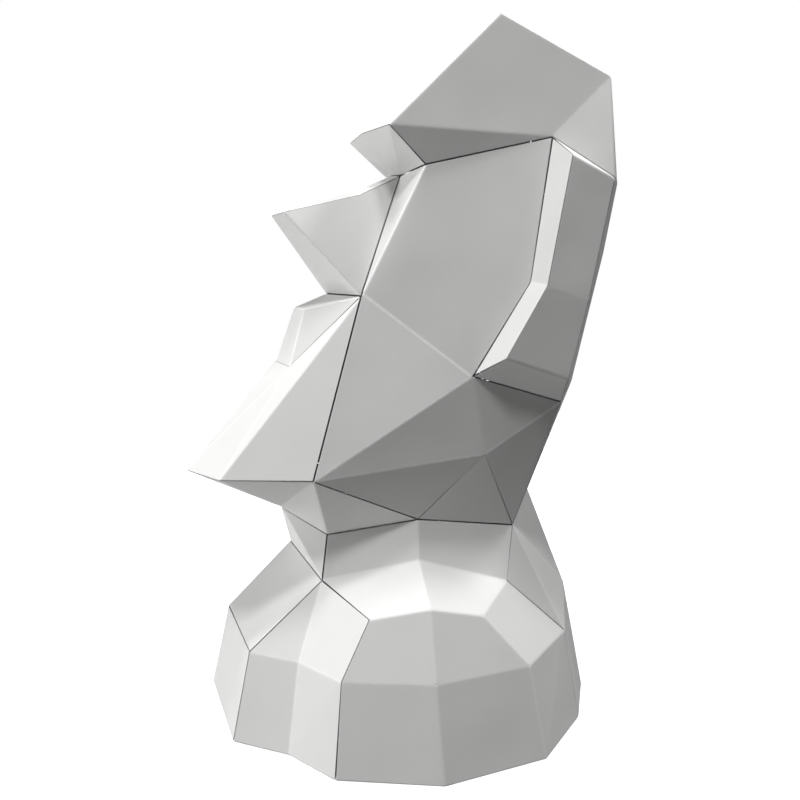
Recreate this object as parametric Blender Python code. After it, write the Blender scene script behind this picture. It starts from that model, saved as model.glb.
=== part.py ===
"""A giant low-poly stone-head chess piece folded from white card, in metres, +Z up, the face towards -Y.

The shell is one closed faceted surface, symmetric about x = 0. Its corners are named points on the
left half (x >= 0); a name ending in "~" is the mirrored point on the right half. The surface is cut
along the glued seams into separate folded card sheets, and each sheet is one object: its outer face
lies on the surface, its inner face one card thickness inside, and its edges are mitred so that
neighbouring sheets stand half a seam gap back from the seam between them.
"""

import bpy
import numpy as np

MM = 0.001

CARD = 1.0  # card thickness
SEAM = 0.4  # gap between two glued sheets
CORNER_GAP = 0.9  # the same gap at a corner where three or more sheets meet
HOLD = 2.0  # how firmly a sheet's edge keeps that gap at a corner, against staying exactly in its panels' planes
TOP = 460.0  # height of the crown's front corners; the peak between them is PEAK higher
PEAK = 7.0
BROW = 384.0  # height of the brow edge
NECK = 132.0  # mean height of the seam between neck and base
RIM = 57.5  # height of the fold between the base's slope and its wall
FOOT = 0.0  # the bottom edge
FOOT_HALF = 123.0  # half the width of the base at its widest
CHIN_OUT = 145.0  # how far the chin reaches forward
HEEL_OUT = 145.0  # how far the base reaches back

# Named corners of the left half in millimetres: sideways from the middle, backwards (+) or forwards (-), up.
POINTS = {
    # crown and brow
    "crown_front": (38, 36, TOP),
    "crown_peak": (0, 32, TOP + PEAK),
    "crown_back": (47.6, 114.8, TOP - 29.4),
    "crown_back_mid": (0, 118, TOP - 23.5),
    "brow": (39.5, -34.5, BROW),
    "brow_mid": (0, -39, BROW),
    "temple": (48.4, 73.9, BROW + 3.6),
    # eye socket and nose
    "eye": (36.9, -8.1, BROW - 20.6),
    "nose_root": (9.7, -14.3, BROW - 25.2),
    "nose_root_mid": (0, -17, BROW - 24.5),
    "nose_dip": (14.2, -42.8, BROW - 40.4),
    "nose_dip_mid": (0, -43, BROW - 37.5),
    "nose_tip": (17.5, -92.5, BROW - 55.5),
    # mouth and chin
    "mouth": (39.9, -47.1, 280),
    "lip_top": (13.5, -76, 270),
    "lip_low": (19, -85.5, 233.5),
    "chin": (35.5, -130, 165.5),
    "chin_mid": (0, -CHIN_OUT, 164.5),
    # ear
    "ear_bend": (59, 59.6, 294.6),
    "lobe": (60.9, 22.5, 233.8),
    "ear_top_out": (64, 80.5, 375.5),
    "ear_bend_out": (70.1, 65.8, 292.6),
    "lobe_out": (73.2, 38.7, 246.4),
    "ear_back_top": (62, 114.5, 364.8),
    "ear_back_mid": (68, 98.1, 285),
    "ear_back_low": (70.2, 86.4, 233.9),
    # jaw and neck
    "nape_side": (57.8, 90, 217.5),
    "jaw_mid": (59.5, 35.3, 183.2),
    "gullet": (59.2, -77.9, 168.6),
    "throat_mid": (0, -83, NECK + 6),
    "throat": (33, -60, NECK - 4.5),
    "neck_side": (48, -4, NECK + 7),
    "neck_back": (47, 66.5, NECK - 0.5),
    "nape_mid": (0, 95, NECK + 29),
    # back of the head
    "back_top": (36.8, 134, 365),
    "back_mid": (33.4, 129.9, 319.2),
    "back_low": (23.4, 118.9, 227.8),
    # base, from the neck down: collar, shelf, rim, foot
    "collar_front": (43, -65, 101),
    "collar_side": (58, -6, 115),
    "collar_back": (61.5, 57, 98),
    "shelf_front": (86, -47.5, 90.5),
    "shelf_side": (96.5, -13, 98),
    "shelf_back": (94.5, 23.5, 90),
    "rim_1": (39.5, -109, RIM - 0.5),
    "rim_2": (60.5, -82.5, RIM - 1),
    "rim_3": (92, -65, RIM - 1),
    "rim_4": (111.5, -13, RIM),
    "rim_5": (102.5, 54.5, RIM),
    "rim_6": (63, 104, RIM + 2),
    "rim_7": (23, 126, RIM + 21.5),
    "foot_1": (42.5, -118, FOOT),
    "foot_2": (66.5, -88, FOOT),
    "foot_3": (100, -68.5, FOOT),
    "foot_4": (FOOT_HALF, -8.5, FOOT),
    "foot_5": (113.5, 65, FOOT),
    "foot_6": (74, 114, FOOT),
    "foot_7": (29.5, HEEL_OUT, FOOT),
}

# Sheets that are mirrored whole: each becomes NAME_left and NAME_right. Panels are lists of corner names.
PAIRED = {
    "cheek_and_jaw": [
        "eye nose_root mouth",
        "eye temple ear_bend lobe",
        "eye lobe mouth",
        "mouth lobe gullet",
        "lobe gullet jaw_mid",
        "lobe nape_side jaw_mid",
        "jaw_mid nape_side neck_back",
        "gullet jaw_mid neck_side",
    ],
    "neck_side": ["jaw_mid neck_side neck_back"],
    "ear_front": [
        "temple ear_top_out ear_bend_out ear_bend",
        "ear_bend ear_bend_out lobe_out lobe",
    ],
    "ear_side": [
        "temple ear_back_top ear_top_out",
        "ear_top_out ear_back_top ear_back_mid ear_bend_out",
        "ear_bend_out ear_back_mid ear_back_low lobe_out",
        "lobe lobe_out ear_back_low nape_side",
    ],
    "shoulder_and_wall": [
        "throat neck_side collar_side collar_front",
        "neck_side neck_back collar_back collar_side",
        "collar_front collar_side shelf_side shelf_front",
        "collar_side collar_back shelf_back shelf_side",
        "shelf_front shelf_side rim_4 rim_3",
        "shelf_side shelf_back rim_5 rim_4",
        "shelf_back collar_back rim_6 rim_5",
        "rim_3 rim_4 foot_4 foot_3",
        "rim_4 rim_5 foot_5 foot_4",
        "rim_5 rim_6 foot_6 foot_5",
    ],
    "front_corner": [
        "collar_front shelf_front rim_3 rim_2",
        "collar_front rim_2 rim_1",
        "rim_1 rim_2 foot_2 foot_1",
        "rim_2 rim_3 foot_3 foot_2",
    ],
}

# Sheets that cross the middle. "both" panels are given for the left and repeated mirrored.
CENTRAL = {
    "crown_shell": {
        "both": [
            "crown_front crown_peak brow_mid",
            "crown_front brow_mid brow",
            "crown_front crown_back temple brow",
            "crown_back temple ear_back_top",
            "brow eye temple",
        ],
        "once": [],
    },
    "crown_top": {
        "both": ["crown_front crown_peak crown_back_mid crown_back"],
        "once": [],
    },
    "brow_underside": {
        "both": [
            "brow_mid brow nose_root_mid",
            "brow nose_root nose_root_mid",
            "brow eye nose_root",
        ],
        "once": [],
    },
    "nose_bridge": {
        "both": [
            "nose_root nose_dip nose_dip_mid nose_root_mid",
            "nose_dip nose_tip nose_dip_mid",
        ],
        "once": ["nose_dip_mid nose_tip nose_tip~"],
    },
    "nose_body": {
        "both": ["nose_root nose_dip nose_tip mouth"],
        "once": ["nose_tip nose_tip~ mouth~ mouth"],
    },
    "lips": {
        "both": ["mouth lip_top lip_low"],
        "once": [
            "mouth mouth~ lip_top~ lip_top",
            "lip_top lip_low lip_low~ lip_top~",
        ],
    },
    "chin_front": {
        "both": [
            "lip_low chin_mid chin",
            "mouth lip_low chin",
            "mouth chin gullet",
        ],
        "once": ["lip_low lip_low~ chin_mid"],
    },
    "throat": {
        "both": [
            "chin_mid chin throat_mid",
            "chin gullet throat_mid",
            "gullet throat_mid throat",
            "gullet throat neck_side",
        ],
        "once": [],
    },
    "back_of_crown": {
        "both": [
            "crown_back ear_back_top back_top",
            "crown_back crown_back_mid back_top",
        ],
        "once": ["crown_back_mid back_top~ back_top"],
    },
    "back_of_head": {
        "both": [
            "ear_back_top ear_back_mid back_mid back_top",
            "ear_back_mid ear_back_low back_low back_mid",
            "ear_back_low nape_side back_low",
        ],
        "once": [
            "back_top back_top~ back_mid~ back_mid",
            "back_mid back_mid~ back_low~ back_low",
        ],
    },
    "nape": {
        "both": [
            "back_low nape_side neck_back",
            "back_low neck_back nape_mid",
        ],
        "once": ["back_low back_low~ nape_mid"],
    },
    "front_collar": {
        "both": ["throat_mid throat collar_front"],
        "once": ["throat_mid collar_front collar_front~"],
    },
    "front_slope": {
        "both": [],
        "once": ["collar_front collar_front~ rim_1~ rim_1"],
    },
    "front_wall": {
        "both": [],
        "once": ["rim_1 rim_1~ foot_1~ foot_1"],
    },
    "rear_slope": {
        "both": [
            "neck_back collar_back rim_6",
            "neck_back rim_6 rim_7",
            "neck_back rim_7 nape_mid",
        ],
        "once": ["nape_mid rim_7 rim_7~"],
    },
    "rear_wall": {
        "both": ["rim_6 rim_7 foot_7 foot_6"],
        "once": ["rim_7 rim_7~ foot_7~ foot_7"],
    },
    "floor": {
        "both": [],
        "once": [
            "foot_1 foot_2 foot_3 foot_4 foot_5 foot_6 foot_7 "
            "foot_7~ foot_6~ foot_5~ foot_4~ foot_3~ foot_2~ foot_1~"
        ],
    },
}


def mirrored(name):
    """The name of the same corner on the other half; a corner in the middle is its own mirror."""
    if name.endswith("~"):
        return name[:-1]
    return name if POINTS[name][0] == 0 else name + "~"


def place(name):
    """The corner's position in metres."""
    x, y, z = POINTS[name.rstrip("~")]
    return np.array((-x if name.endswith("~") else x, y, z), float) * MM


def all_sheets():
    """{sheet name: list of panels}, each panel a list of corner names."""
    sheets = {}
    for name, panels in PAIRED.items():
        panels = [panel.split() for panel in panels]
        sheets[name + "_left"] = panels
        sheets[name + "_right"] = [[mirrored(c) for c in panel] for panel in panels]
    for name, halves in CENTRAL.items():
        both = [panel.split() for panel in halves["both"]]
        once = [panel.split() for panel in halves["once"]]
        sheets[name] = both + [[mirrored(c) for c in panel] for panel in both] + once
    return sheets


def edges_of(panel):
    """The panel's directed edges, in order."""
    return [(panel[i], panel[(i + 1) % len(panel)]) for i in range(len(panel))]


def normal_of(panel):
    """The panel's unit normal, by summing cross products round it, so a slightly warped panel has one too."""
    points = [place(c) for c in panel]
    total = sum(np.cross(a, b) for a, b in zip(points, points[1:] + points[:1]))
    return total / np.linalg.norm(total)


def turned_outwards(sheets):
    """Every panel's corners in an order that makes its normal point out of the closed surface."""
    panels = [panel for panels in sheets.values() for panel in panels]
    sides = {}
    for index, panel in enumerate(panels):
        for a, b in edges_of(panel):
            sides.setdefault(frozenset((a, b)), []).append(index)
    for edge, users in sides.items():
        if len(users) != 2:
            raise ValueError(f"{sorted(edge)} borders {len(users)} panels")
    done, queue = {0}, [0]
    while queue:
        here = queue.pop()
        for a, b in edges_of(panels[here]):
            for other in sides[frozenset((a, b))]:
                if other in done:
                    continue
                if (a, b) in edges_of(panels[other]):
                    panels[other].reverse()
                done.add(other)
                queue.append(other)
    volume = 0.0
    for panel in panels:
        first = place(panel[0])
        for b, c in zip(panel[1:-1], panel[2:]):
            volume += np.dot(first, np.cross(place(b), place(c)))
    if volume < 0:
        for panel in panels:
            panel.reverse()


def settled(corner, conditions):
    """The point nearest the corner that meets every plane condition (normal, distance, weight) as well as it can."""
    rows = np.array([np.asarray(n) * w for n, _, w in conditions])
    wanted = np.array([d * w for _, d, w in conditions])
    return place(corner) + np.linalg.lstsq(rows, wanted, rcond=1e-3)[0]


def folded_sheet(name, panels, owner, meeting):
    """One card sheet as a closed solid: outer panels, inner panels one thickness in, and mitred edges."""
    own = {edge for panel in panels for edge in edges_of(panel)}
    rim = sorted(edge for edge in own if (edge[1], edge[0]) not in own)
    corners = sorted({c for panel in panels for c in panel})
    planes = {c: [normal_of(panel) for panel in panels if c in panel] for c in corners}
    mitres = {c: [] for c in corners}
    for panel in panels:
        for a, b in edges_of(panel):
            if (b, a) in own:
                continue
            along = place(b) - place(a)
            mitre = np.cross(along, normal_of(panel) + normal_of(owner[(b, a)]))
            mitre /= np.linalg.norm(mitre)
            if np.dot(mitre, np.cross(along, normal_of(panel))) < 0:
                mitre = -mitre
            mitres[a].append(mitre)
            mitres[b].append(mitre)
    outer, inner = {}, {}
    for c in corners:
        back = [(m, -0.5 * (CORNER_GAP if c in meeting else SEAM) * MM, HOLD) for m in mitres[c]]
        outer[c] = settled(c, [(n, 0.0, 1.0) for n in planes[c]] + back)
        inner[c] = settled(c, [(n, -CARD * MM, 1.0) for n in planes[c]] + back)
    where = {c: i for i, c in enumerate(corners)}
    count = len(corners)
    faces = [[where[c] for c in panel] for panel in panels]
    faces += [[where[c] + count for c in reversed(panel)] for panel in panels]
    faces += [[where[b], where[a], where[a] + count, where[b] + count] for a, b in rim]
    mesh = bpy.data.meshes.new(name)
    mesh.from_pydata([tuple(outer[c]) for c in corners] + [tuple(inner[c]) for c in corners], [], faces)
    mesh.validate()
    thing = bpy.data.objects.new(name, mesh)
    bpy.context.scene.collection.objects.link(thing)
    material = bpy.data.materials.new(name + "_card")
    material.use_nodes = True
    shader = material.node_tree.nodes["Principled BSDF"]
    shader.inputs["Base Color"].default_value = (0.86, 0.86, 0.85, 1.0)
    shader.inputs["Roughness"].default_value = 0.75
    mesh.materials.append(material)
    return thing


for thing in list(bpy.data.objects):
    bpy.data.objects.remove(thing)

SHEETS = all_sheets()
turned_outwards(SHEETS)
OWNER = {edge: panel for panels in SHEETS.values() for panel in panels for edge in edges_of(panel)}
USERS = {}
for sheet_name, sheet_panels in SHEETS.items():
    for corner in {c for panel in sheet_panels for c in panel}:
        USERS.setdefault(corner, set()).add(sheet_name)
MEETING = {corner for corner, users in USERS.items() if len(users) > 2}
for sheet_name, sheet_panels in SHEETS.items():
    folded_sheet(sheet_name, sheet_panels, OWNER, MEETING)
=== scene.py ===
import math

import bmesh
import bpy
import mathutils
import numpy as np
from mathutils.bvhtree import BVHTree
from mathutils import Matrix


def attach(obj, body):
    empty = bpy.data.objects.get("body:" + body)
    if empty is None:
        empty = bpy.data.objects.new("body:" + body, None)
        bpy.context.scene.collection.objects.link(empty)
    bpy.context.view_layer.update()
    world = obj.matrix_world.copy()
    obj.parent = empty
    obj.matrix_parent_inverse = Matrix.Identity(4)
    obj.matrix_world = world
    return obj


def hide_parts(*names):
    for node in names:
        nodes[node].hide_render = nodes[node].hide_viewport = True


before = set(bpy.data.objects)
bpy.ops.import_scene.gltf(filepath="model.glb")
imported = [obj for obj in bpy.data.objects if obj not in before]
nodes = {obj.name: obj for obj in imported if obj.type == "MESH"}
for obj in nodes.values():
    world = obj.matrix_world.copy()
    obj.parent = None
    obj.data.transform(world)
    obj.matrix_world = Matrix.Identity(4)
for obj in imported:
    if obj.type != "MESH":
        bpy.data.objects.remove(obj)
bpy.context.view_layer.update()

MM = 0.001

# ---------------------------------------------------------------- base plate
# The plate under the pedestal is the first sheet on the table: 1 mm white card,
# knife-cut to the outline of the foot, and the walls are glued round its edge.
FOLD_WIDTH = 1.3 * MM  # how far from a scored fold the card starts to bend, on each side
CUT_ROUND = 0.22 * MM  # the same at a knife-cut edge, which is only a little softened
CREASE_WHITE_AND_HIGHLIGHT = "FBFBFA"  # the broken fibres on a scored fold, with a painted highlight along it
CUT_GREY_GLUE_AND_SHADE = "A9A9A6"  # a knife-cut edge darkened: partly glue in the seam, partly painted shade of the gap
CALM = 18 * MM  # over this distance from its edges a panel comes to its full bow
THINNEST_PANEL = 3.2 * MM  # a face narrower than this is a cut edge, not a panel
FLATTEST_FOLD = 0.05  # radians; a flatter fold gets no pale line, neither broken fibre nor painted highlight
SEAM_REACH = 0.8 * MM  # two sheets whose cut edges are this near share a glued seam
DRAWN_UP = 0.17 * MM  # how far a cut edge is drawn towards its neighbour in a tight seam
OUT_LEANS = (  # the slants of the test rays that tell the outer skin from the inner
    (0.11, 0.23, 0.31),
    (-0.27, 0.13, 0.19),
    (0.21, -0.17, -0.29),
    (-0.15, -0.31, 0.12),
    (0.05, 0.09, -0.33),
    (0.5, 0.1, -0.4),
    (-0.4, -0.3, 0.5),
)
STEPS = 14  # grid cells from a corner to the middle of an edge


def linear(hexcode):
    """The linear RGBA colour of an sRGB hex value."""
    srgb = np.array([int(hexcode[i : i + 2], 16) for i in (0, 2, 4)]) / 255
    return (*np.where(srgb <= 0.04045, srgb / 12.92, ((srgb + 0.055) / 1.055) ** 2.4), 1.0)


def node(tree, kind, settings=None, **links):
    """Adds a shader node of this kind with its settings. Each link names an input and gives its value or
    the socket that feeds it."""
    made = tree.nodes.new(kind)
    for key, value in (settings or {}).items():
        setattr(made, key, value)
    for key, value in links.items():
        key = key.replace("_", " ")
        socket = made.inputs[int(key[1:])] if key[:1] == "i" and key[1:].isdigit() else made.inputs[key]
        if isinstance(value, bpy.types.NodeSocket):
            tree.links.new(value, socket)
        else:
            socket.default_value = value
    return made


def card_stock(name, grain, crease_and_highlight=0.4, shade="D9D9D8"):
    """White uncoated card, calendered smooth: matt, with a cloudy formation, short fibres along the grain (an
    angle in radians) and folds painted paler by the given amount, partly for the fibres broken in the fold
    and partly as a painted highlight."""
    material = bpy.data.materials.new(name)
    material.use_nodes = True
    tree = material.node_tree
    shader = tree.nodes["Principled BSDF"]
    place = node(tree, "ShaderNodeTexCoord").outputs["Object"]
    along = node(
        tree, "ShaderNodeMapping", Vector=place, Rotation=(0.3, 0.2, grain), Scale=(1.0, 0.35, 1.0)
    ).outputs[0]
    # Formation: the cloudiness of the pulp, in patches of about 25 mm.
    cloud = node(
        tree, "ShaderNodeTexNoise", Vector=place, Scale=40.0, Detail=3.0, Roughness=0.55
    ).outputs["Fac"]
    tone = node(
        tree, "ShaderNodeMapRange", Value=cloud, From_Min=0.3, From_Max=0.7, To_Min=0.978, To_Max=1.0
    ).outputs[0]
    # Fibres are 0.02 mm wide in life; they are drawn 0.5 mm wide so that they show.
    fibre = node(
        tree, "ShaderNodeTexNoise", Vector=along, Scale=1900.0, Detail=4.0, Roughness=0.6
    ).outputs["Fac"]
    speck = node(
        tree, "ShaderNodeMapRange", Value=fibre, From_Min=0.25, From_Max=0.75, To_Min=0.985, To_Max=1.0
    ).outputs[0]
    fold = node(tree, "ShaderNodeAttribute", {"attribute_name": "fold"}).outputs["Fac"]
    cut = node(tree, "ShaderNodeAttribute", {"attribute_name": "cut"}).outputs["Fac"]
    scuff = node(tree, "ShaderNodeTexNoise", Vector=place, Scale=260.0, Detail=2.0).outputs["Fac"]
    worn = node(
        tree, "ShaderNodeMapRange", Value=scuff, From_Min=0.3, From_Max=0.7, To_Min=0.55, To_Max=1.0
    ).outputs[0]
    # Near sharp folds the colour is painted paler: partly broken fibre, partly a painted highlight for the
    # light a rounded fold catches.
    pressed_and_highlight = node(tree, "ShaderNodeMath", {"operation": "MULTIPLY"}, i0=fold, i1=crease_and_highlight).outputs[0]
    crushed_and_highlight = node(tree, "ShaderNodeMath", {"operation": "MULTIPLY"}, i0=pressed_and_highlight, i1=worn).outputs[0]
    pulp = node(tree, "ShaderNodeMath", {"operation": "MULTIPLY"}, i0=tone, i1=speck).outputs[0]
    mottle = node(tree, "ShaderNodeCombineColor", Red=pulp, Green=pulp, Blue=pulp).outputs[0]
    times = {"data_type": "RGBA", "blend_type": "MULTIPLY"}
    grey = node(tree, "ShaderNodeMix", times, Factor=1.0, i6=linear(shade), i7=mottle).outputs[2]
    blend = {"data_type": "RGBA"}
    white = node(tree, "ShaderNodeMix", blend, Factor=crushed_and_highlight, i6=grey, i7=linear(CREASE_WHITE_AND_HIGHLIGHT)).outputs[2]
    # Beside knife-cut edges the colour is painted half way to that grey: partly glue, partly painted shade in
    # the seam.
    edge = node(tree, "ShaderNodeMath", {"operation": "MULTIPLY"}, i0=cut, i1=0.5).outputs[0]
    final = node(tree, "ShaderNodeMix", blend, Factor=edge, i6=white, i7=linear(CUT_GREY_GLUE_AND_SHADE)).outputs[2]
    tree.links.new(final, shader.inputs["Base Color"])
    rough = node(tree, "ShaderNodeMapRange", Value=crushed_and_highlight, To_Min=0.72, To_Max=0.5).outputs[0]
    tree.links.new(rough, shader.inputs["Roughness"])
    shader.inputs["Specular IOR Level"].default_value = 0.3
    # A board this size is never quite flat: a shallow wave about 60 mm long, and the tooth of the surface.
    wave = node(
        tree, "ShaderNodeTexNoise", Vector=place, Scale=16.0, Detail=1.0, Roughness=0.4
    ).outputs["Fac"]
    long_bump = node(tree, "ShaderNodeBump", Height=wave, Distance=0.0012, Strength=1.0).outputs[0]
    tooth = node(
        tree, "ShaderNodeBump", Height=fibre, Distance=0.00002, Strength=1.0, Normal=long_bump
    ).outputs[0]
    tree.links.new(tooth, shader.inputs["Normal"])
    return material


def node_faces(name):
    """The sheet's corners, and its faces as lists of corner numbers, a flat face's triangles joined up."""
    shape = bmesh.new()
    shape.from_mesh(nodes[name].data)
    bmesh.ops.remove_doubles(shape, verts=shape.verts, dist=2e-6)
    bmesh.ops.dissolve_limit(shape, angle_limit=math.radians(0.4), verts=shape.verts, edges=shape.edges)
    shape.verts.index_update()
    corners = np.array([v.co for v in shape.verts])
    faces = [[v.index for v in face.verts] for face in shape.faces]
    shape.free()
    return corners, faces


def face_normal(points):
    total = np.cross(points, np.roll(points, -1, axis=0)).sum(axis=0)
    return total / np.linalg.norm(total)


def area_of(points):
    return np.linalg.norm(np.cross(points, np.roll(points, -1, axis=0)).sum(axis=0)) / 2


def looks_out(points):
    """Whether a face looks out of the hollow figure. Each sheet has two surfaces, and a ray that leaves the
    figure passes through an even number of sheets, so it meets 0, 4, 8... surfaces."""
    normal = face_normal(points)
    start = points.mean(axis=0) + 0.3 * MM * normal
    votes = 0
    for lean in OUT_LEANS:
        way = normal + np.array(lean)
        way /= np.linalg.norm(way)
        count, here = 0, start.copy()
        while True:
            hit = SURFACE.ray_cast(tuple(here), tuple(way))
            if hit[0] is None:
                break
            count += 1
            here = np.array(hit[0]) + 1e-5 * way
        votes += 1 if count % 4 == 0 else -1
    return votes > 0


def surfaces_of(names):
    """One search tree of these packed sheets' surfaces."""
    corners, faces, start = [], [], 0
    for thing in (nodes[name] for name in names):
        co = np.zeros(len(thing.data.vertices) * 3)
        thing.data.vertices.foreach_get("co", co)
        corners += [tuple(c) for c in co.reshape(-1, 3)]
        faces += [tuple(start + i for i in face.vertices) for face in thing.data.polygons]
        start += len(thing.data.vertices)
    return BVHTree.FromPolygons(corners, faces)


SURFACE = surfaces_of(sorted(nodes))
SPREAD = (np.linspace(0, 1, STEPS + 1) ** 2.6)  # grid lines crowd towards the corners and edges


def away_from(points, index):
    """The unit direction in a face's plane that leads squarely away from its edge number index."""
    p, q = points[index], points[(index + 1) % len(points)]
    way = np.cross(face_normal(points), q - p)
    return way / np.linalg.norm(way)


def pull(points, edges, width):
    """Rounding: each edge pulls a point at distance d by width/4 (1 - d/width)^2 along the sum of the
    directions that lead away from it in its two faces. The second result is 1 - d/width for each point."""
    moved = np.zeros_like(points)
    nearness = np.zeros(len(points))
    for p, q, a, b in edges:
        along = q - p
        share = np.clip((points - p) @ along / (along @ along), 0, 1)
        distance = np.linalg.norm(points - p - share[:, None] * along, axis=1)
        near = np.clip(1 - distance / width, 0, 1)
        moved += (width / 4 * near**2)[:, None] * (a + b)
        if np.linalg.norm(a + b) > FLATTEST_FOLD:
            nearness = np.maximum(nearness, near)
    return moved, nearness


def grid_quads(rows, columns):
    """The four-sided cells of a grid of points, as point numbers."""
    at = np.arange(rows * columns).reshape(rows, columns)
    return np.stack([at[:-1, :-1], at[1:, :-1], at[1:, 1:], at[:-1, 1:]], axis=-1).reshape(-1, 4)


def folded_card(name, material, bow=0.35 * MM, tight=(), roll=None):
    """One folded sheet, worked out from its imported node. Each outer panel is divided into one four-sided
    patch per corner, a grid whose lines crowd towards the edges. The points are pulled in round every fold
    and cut, and the panel's middle is let in by the bow. A cut edge beside a sheet named in tight is drawn
    up to it, so that the glued seam closes. A roll (a height, a length) lifts the wider panel beside the
    sheet's sharpest fold, at distance d from it, by height (1 - exp(-d/length)) exp(-d/(3 length))."""
    corners, faces = node_faces(name)
    # The panels fall into two skins with no corner in common, and the one that looks out is the outer.
    skins = []
    for face in faces:
        points = corners[face]
        sides = np.linalg.norm(points - np.roll(points, -1, axis=0), axis=1)
        if area_of(points) / sides.max() < THINNEST_PANEL:
            continue
        touching = [skin for skin in skins if any(set(face) & set(old) for old in skin)]
        skins = [skin for skin in skins if skin not in touching] + [sum(touching, []) + [face]]
    inner, outer = sorted(skins, key=lambda skin: sum(looks_out(corners[face]) for face in skin) / len(skin))
    # The cut edge between an outer corner and the inner corner straight behind it closes the sheet all round.
    behind = sorted({i for face in inner for i in face})
    partner = {
        p: behind[int(np.argmin(np.linalg.norm(corners[behind] - corners[p], axis=1)))]
        for face in outer
        for p in face
    }
    owner = {(p, face[(i + 1) % len(face)]): (face, i) for face in outer for i, p in enumerate(face)}
    rim, folds, cuts = [], [], []
    for (p, q), (face, i) in owner.items():
        here = away_from(corners[face], i)
        if (q, p) not in owner:
            rim.append([q, p, partner[p], partner[q]])
            cuts.append((corners[p], corners[q], here, away_from(corners[rim[-1]], 0)))
        elif p < q:
            other, j = owner[q, p]
            folds.append((corners[p], corners[q], here, away_from(corners[other], j)))
    rolled = None
    if roll:
        sharpest = max(folds, key=lambda fold: np.linalg.norm(fold[2] + fold[3]))
        ends = {tuple(sharpest[0]), tuple(sharpest[1])}
        pair = [face for face in outer if ends <= {tuple(c) for c in corners[face]}]
        rolled = max(pair, key=lambda face: area_of(corners[face]))
    u, v = (g[None, :, :, None] for g in np.meshgrid(SPREAD, SPREAD, indexing="ij"))
    pieces, quads, count = [], [], 0
    cell_quads = grid_quads(STEPS + 1, STEPS + 1)
    for face in outer:
        points = corners[face]
        middle = points.mean(axis=0)
        after = (points + np.roll(points, -1, axis=0)) / 2
        before = (points + np.roll(points, 1, axis=0)) / 2
        c, a, b = (side[:, None, None, :] for side in (points, after, before))
        grid = ((1 - u) * (1 - v) * c + u * (1 - v) * a + u * v * middle + (1 - u) * v * b).reshape(-1, 3)
        clear = np.ones(len(grid))
        for i in range(len(points)):
            clear *= 1 - np.exp(-np.abs((grid - points[i]) @ away_from(points, i)) / CALM)
        lift = -bow * clear
        if face is rolled:
            sides = [{tuple(points[i]), tuple(points[(i + 1) % len(points)])} for i in range(len(points))]
            edge = sides.index(ends)
            d = np.abs((grid - points[edge]) @ away_from(points, edge))
            height, length = roll
            hump = height * (1 - np.exp(-d / length)) * np.exp(-d / (3 * length))
            lift += hump * clear / (1 - np.exp(-d / CALM) + 1e-9)
        pieces.append(grid + lift[:, None] * face_normal(points))
        for k in range(len(points)):
            quads.append(cell_quads + count)
            count += (STEPS + 1) ** 2
    both = np.concatenate([SPREAD / 2, 1 - SPREAD[-2::-1] / 2])
    across = np.array([0.0, 0.05, 0.12, 0.2, 0.6, 1.0])
    rows, columns = len(across), len(both)
    strip_quads = grid_quads(rows, columns)
    for face in rim:
        p, q, r, s = corners[face]
        t, w = across[:, None, None], both[None, :, None]
        grid = ((1 - t) * ((1 - w) * p + w * q) + t * ((1 - w) * s + w * r)).reshape(-1, 3)
        pieces.append(grid)
        quads.append(strip_quads + count)
        count += rows * columns
    inner_faces = []
    for face in inner:
        points = corners[face]
        ways = np.roll(points, -1, axis=0) - points
        sides = (points[:, None] + both[None, :-1, None] * ways[:, None]).reshape(-1, 3)
        pieces.append(sides)
        inner_faces.append(np.arange(len(sides)) + count)
        count += len(sides)
    points = np.concatenate(pieces)
    rounded, fold = pull(points, folds, FOLD_WIDTH)
    softened, cut = pull(points, cuts, CUT_ROUND)
    points = points + rounded + softened
    if tight:
        beside = surfaces_of(tight)
        for p, q, here, _ in cuts:
            if beside.find_nearest(tuple((p + q) / 2))[3] < SEAM_REACH:
                along = q - p
                share = np.clip((points - p) @ along / (along @ along), 0, 1)
                near = np.clip(1 - np.linalg.norm(points - p - share[:, None] * along, axis=1) / MM, 0, 1)
                points = points - (DRAWN_UP * near)[:, None] * here
    shape = bpy.data.meshes.new(name + "_folded")
    shape.from_pydata(points.tolist(), [], np.concatenate(quads).tolist() + [f.tolist() for f in inner_faces])
    for key, values in (("fold", fold), ("cut", cut)):
        shape.attributes.new(key, "FLOAT", "POINT").data.foreach_set("value", values.astype(np.float32))
    joined = bmesh.new()
    joined.from_mesh(shape)
    bmesh.ops.remove_doubles(joined, verts=joined.verts, dist=1e-6)
    bmesh.ops.recalc_face_normals(joined, faces=joined.faces)
    joined.to_mesh(shape)
    joined.free()
    shape.polygons.foreach_set("use_smooth", np.ones(len(shape.polygons), bool))
    shape.set_sharp_from_angle(angle=math.radians(50))
    shape.materials.append(material)
    thing = bpy.data.objects.new(name + "_folded", shape)
    bpy.context.scene.collection.objects.link(thing)
    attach(thing, "root")
    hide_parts(name)


folded_card("floor", card_stock("uncoated card, foot plate", grain=0.0, crease_and_highlight=0.0), bow=0.1 * MM)

# ---------------------------------------------------------------- front and rear walls
# The walls at the front and back of the foot, knife-cut from 1 mm card: the front one is a single panel,
# the rear one is scored twice. Both are glued to the foot plate's edge.
folded_card("front_wall", card_stock("uncoated card, front wall", grain=0.0, crease_and_highlight=0.3))
folded_card("rear_wall", card_stock("uncoated card, rear wall", grain=0.1, crease_and_highlight=0.4))

# ---------------------------------------------------------------- front corners
# Each front corner is one sheet of card that wraps the wall and the slope above it, scored on four lines.
# The folds are creased over by hand, and are painted as fine pale lines: broken fibre, with a painted
# highlight.
for side, grain in (("left", 0.5), ("right", -0.5)):
    folded_card(
        f"front_corner_{side}",
        card_stock(f"uncoated card, {side} front corner", grain=grain, crease_and_highlight=0.4),
        bow=0.3 * MM,
    )

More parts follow.
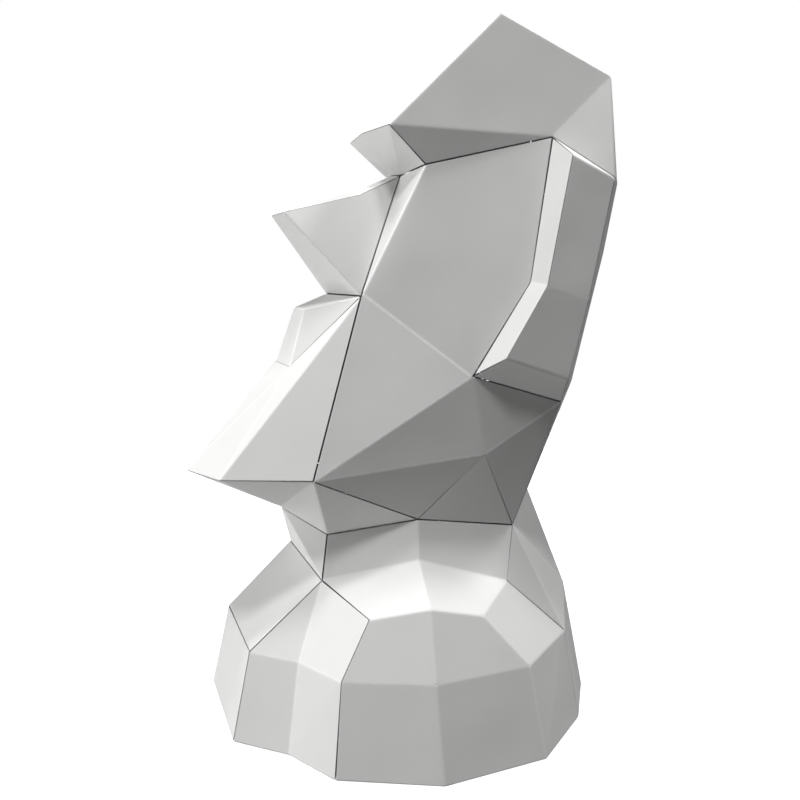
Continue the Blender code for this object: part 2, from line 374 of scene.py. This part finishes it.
# ---------------------------------------------------------------- front and rear slopes
# The slopes from the walls up to the neck: a single panel of card in front, a fan of seven behind.
# They are glued to the walls below and to the corners and shoulders beside them.
folded_card("front_slope", card_stock("uncoated card, front slope", grain=0.0, crease_and_highlight=0.3), bow=0.4 * MM)
folded_card("rear_slope", card_stock("uncoated card, rear slope", grain=0.2, crease_and_highlight=0.4))

# ---------------------------------------------------------------- shoulders and side walls
# Neck side, shoulder, shelf, slope and wall of one side in one sheet of card, scored into ten panels.
# The panels are wide enough to sag a little between their folds.
for side, grain in (("left", 1.4), ("right", -1.4)):
    folded_card(
        f"shoulder_and_wall_{side}",
        card_stock(f"uncoated card, {side} shoulder", grain=grain, crease_and_highlight=0.22),
        bow=0.45 * MM,
    )

# ---------------------------------------------------------------- collar, neck sides and nape
# The collar under the throat, a small triangle of card under each jaw, and the nape behind.
# All are glued along every edge; the triangles sit tight against the jaw.
folded_card("front_collar", card_stock("uncoated card, collar", grain=0.3, crease_and_highlight=0.3), bow=0.2 * MM)
for side, grain in (("left", 0.9), ("right", -0.9)):
    folded_card(
        f"neck_side_{side}",
        card_stock(f"uncoated card, {side} neck triangle", grain=grain, crease_and_highlight=0.0),
        bow=0.2 * MM,
        tight=(f"cheek_and_jaw_{side}",),
    )
folded_card("nape", card_stock("uncoated card, nape", grain=0.0, crease_and_highlight=0.4))

# ---------------------------------------------------------------- throat and chin
# The throat is a card panel fan that closes the chin from below. The chin's front and sides are one sheet,
# folded over the edges of the jaw and glued tight under the lips.
folded_card("throat", card_stock("uncoated card, throat", grain=0.2, crease_and_highlight=0.3), bow=0.25 * MM)
folded_card("chin_front", card_stock("uncoated card, chin", grain=1.2, crease_and_highlight=0.35), tight=("lips",))

# ---------------------------------------------------------------- lips
# The mouth is one sheet of card: a shelf over a short front, with a small side panel at each corner.
# Its seams to the nose and the chin are glued tight.
folded_card(
    "lips",
    card_stock("uncoated card, lips", grain=0.0, crease_and_highlight=0.5),
    bow=0.15 * MM,
    tight=("chin_front", "nose_body"),
)

# ---------------------------------------------------------------- cheeks and jaws
# Cheek, jaw and the side of the neck under it in one sheet of card, its folds painted at full paleness:
# broken fibre and a painted highlight.
# Beside the nose the card is rolled rather than sharply creased.
for side, grain in (("left", 1.1), ("right", -1.1)):
    folded_card(
        f"cheek_and_jaw_{side}",
        card_stock(f"uncoated card, {side} cheek", grain=grain, crease_and_highlight=1.0),
        bow=0.5 * MM,
        tight=("nose_body", "nose_bridge", f"neck_side_{side}"),
        roll=(2.4 * MM, 12 * MM),
    )

# ---------------------------------------------------------------- nose
# A ridge sheet of card sits on top of a body sheet that is folded round the nose's sides and underside.
# The body is glued tight to the cheeks and the lips.
folded_card(
    "nose_body",
    card_stock("uncoated card, nose sides", grain=0.7, crease_and_highlight=0.4),
    bow=0.3 * MM,
    tight=("cheek_and_jaw_left", "cheek_and_jaw_right", "lips"),
)
folded_card("nose_bridge", card_stock("uncoated card, nose ridge", grain=0.0, crease_and_highlight=0.2), bow=0.15 * MM)

# ---------------------------------------------------------------- ears
# Each ear is a side sheet of card that folds over its top and lobe, glued tight under the forehead,
# and a narrow front strip glued to the side sheet's edge.
for side, grain in (("left", 1.5), ("right", -1.5)):
    folded_card(
        f"ear_side_{side}",
        card_stock(f"uncoated card, {side} ear", grain=grain, crease_and_highlight=0.25),
        bow=0.35 * MM,
        tight=("crown_shell",),
    )
    folded_card(
        f"ear_front_{side}",
        card_stock(f"uncoated card, {side} ear strip", grain=-grain, crease_and_highlight=0.4),
        bow=0.2 * MM,
    )

# ---------------------------------------------------------------- back of the head
# Two sheets of card close the back: the long one behind the ears, and the sloped one under the crown.
# They are glued edge to edge.
folded_card("back_of_head", card_stock("uncoated card, back of the head", grain=0.0, crease_and_highlight=0.45))
folded_card("back_of_crown", card_stock("uncoated card, back of the crown", grain=0.3, crease_and_highlight=0.45))

# ---------------------------------------------------------------- brow and crown
# The brow's underside is fitted first, then the forehead's sheet over it, and the roof of the crown last.
# The brow's underside gets no pale lines on its folds, neither broken fibre nor painted highlight; the
# forehead is glued tight over the ears.
folded_card(
    "brow_underside",
    card_stock("uncoated card, underside of the brow", grain=0.2, crease_and_highlight=0.0),
    bow=0.2 * MM,
)
folded_card(
    "crown_shell",
    card_stock("uncoated card, forehead", grain=1.3, crease_and_highlight=0.4),
    bow=0.5 * MM,
    tight=("ear_side_left", "ear_side_right"),
)
folded_card("crown_top", card_stock("uncoated card, crown roof", grain=0.1, crease_and_highlight=0.4), bow=0.4 * MM)

# ---------------------------------------------------------------- studio
# A pale floor that runs out to a white room.
STAGE_RADIUS = 1.6
STAGE_DROP = 0.0002  # the floor lies just under the foot plate, so that the two don't coincide
STAGE_SIDES = 96
stage_mesh = bpy.data.meshes.new("floor_sheet")
turn = np.linspace(0, 2 * np.pi, STAGE_SIDES + 1)[:-1]
rim_points = [(STAGE_RADIUS * math.cos(a), STAGE_RADIUS * math.sin(a), -STAGE_DROP) for a in turn]
stage_mesh.from_pydata(rim_points, [], [list(range(STAGE_SIDES))])
stage_floor = bpy.data.objects.new("floor_sheet", stage_mesh)
bpy.context.scene.collection.objects.link(stage_floor)
paint = bpy.data.materials.new("matt white studio floor")
paint.use_nodes = True
paint.node_tree.nodes["Principled BSDF"].inputs["Base Color"].default_value = linear("F4F4F4")
paint.node_tree.nodes["Principled BSDF"].inputs["Roughness"].default_value = 0.9
paint.node_tree.nodes["Principled BSDF"].inputs["Emission Color"].default_value = (1, 1, 1, 1)
paint.node_tree.nodes["Principled BSDF"].inputs["Emission Strength"].default_value = 0.6
stage_mesh.materials.append(paint)
stage_floor.visible_diffuse = False
stage_floor.visible_shadow = False

world = bpy.data.worlds.new("white room")
bpy.context.scene.world = world
world.use_nodes = True
tree = world.node_tree
tree.nodes.clear()
seen = node(tree, "ShaderNodeBackground", Color=(1, 1, 1, 1), Strength=1.0).outputs[0]
lit = node(tree, "ShaderNodeBackground", Color=(1, 1, 1, 1), Strength=0.03).outputs[0]
eye = node(tree, "ShaderNodeLightPath").outputs["Is Camera Ray"]
mixed = node(tree, "ShaderNodeMixShader", Fac=eye, i1=lit, i2=seen).outputs[0]
node(tree, "ShaderNodeOutputWorld", Surface=mixed)


def softbox(name, place, aim, size, power):
    """A square soft light at a place, turned to face its aim."""
    lamp = bpy.data.lights.new(name, "AREA")
    lamp.shape = "SQUARE"
    lamp.size = size
    lamp.energy = power
    thing = bpy.data.objects.new(name, lamp)
    bpy.context.scene.collection.objects.link(thing)
    thing.location = place
    way = mathutils.Vector(aim) - mathutils.Vector(place)
    thing.rotation_euler = way.to_track_quat("-Z", "Y").to_euler()


# Each lamp's bearing and height angle in degrees (0 is straight in front of the face, 90 off the left ear),
# its size in metres and its power in watts. All stand at the same distance from the middle of the figure.
LAMP_DISTANCE = 2.0
FIGURE_MIDDLE = np.array((0, 0, 0.25))
for name, bearing, height, size, power in (
    ("lamp over the nape", 180, 60, 0.35, 23.6),
    ("lamp overhead", 40, 80, 0.3, 22.0),
    ("lamp high front left", 50, 62, 0.3, 20.0),
    ("window front right", 330, 12, 0.8, 13.8),
    ("window front", 0, 12, 0.8, 10.0),
    ("bounce from the floor in front", 0, -35, 0.8, 10.5),
    ("bounce front left", 45, -8, 0.8, 5.0),
):
    b, h = math.radians(bearing), math.radians(height)
    way = np.array((math.sin(b) * math.cos(h), -math.cos(b) * math.cos(h), math.sin(h)))
    softbox(name, tuple(FIGURE_MIDDLE + LAMP_DISTANCE * way), tuple(FIGURE_MIDDLE), size, power)

# ---------------------------------------------------------------- camera
# Level with the figure's mouth, off its left side and a little to the front, over half a metre away.
camera = bpy.data.objects.new("camera", bpy.data.cameras.new("camera"))
bpy.context.scene.collection.objects.link(camera)
camera.data.lens = 37.25
camera.data.sensor_width = 36.0
camera.data.clip_start = 0.01
bearing, pitch, roll = math.radians(68.78), math.radians(7.38), math.radians(3.13)
right = np.array((math.cos(bearing), math.sin(bearing), 0.0))
ahead_flat = np.array((-math.sin(bearing), math.cos(bearing), 0.0))
forward = ahead_flat * math.cos(pitch) - np.array((0, 0, math.sin(pitch)))
up = np.cross(right, forward)
across = right * math.cos(roll) + up * math.sin(roll)
upward = -right * math.sin(roll) + up * math.cos(roll)
place = -0.5669 * ahead_flat + np.array((0, 0, 0.2835)) - 0.00208 * right
rows = [(across[i], upward[i], -forward[i], place[i]) for i in range(3)]
camera.matrix_world = mathutils.Matrix(rows + [(0, 0, 0, 1)])
bpy.context.scene.camera = camera
bpy.context.scene.view_settings.view_transform = "Standard"
